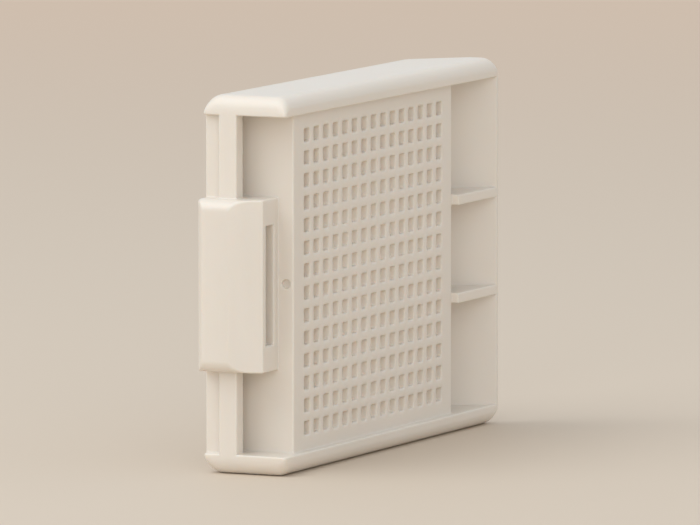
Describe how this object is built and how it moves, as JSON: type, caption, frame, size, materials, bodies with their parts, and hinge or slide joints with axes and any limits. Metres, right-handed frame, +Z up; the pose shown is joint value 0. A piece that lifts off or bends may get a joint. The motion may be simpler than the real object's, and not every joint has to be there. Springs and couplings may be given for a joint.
{
  "type": "tissue cassette",
  "caption": "Lidless tissue cassette base with a perforated floor, slanted blank writing panel and rear latch block, standing on one long side.",
  "frame": {"origin": "centre of the box of the part, on the surface that its long side stands on", "axes": "+Z up along the width, +Y along the length towards the writing panel, +X from the open side towards the floor side"},
  "size_m": [0.0068, 0.04, 0.0285],
  "materials": {
    "white_acetal": "satin white acetal"
  },
  "bodies": {
    "root": {"cassette_base": "white_acetal"}
  },
  "joints": []
}
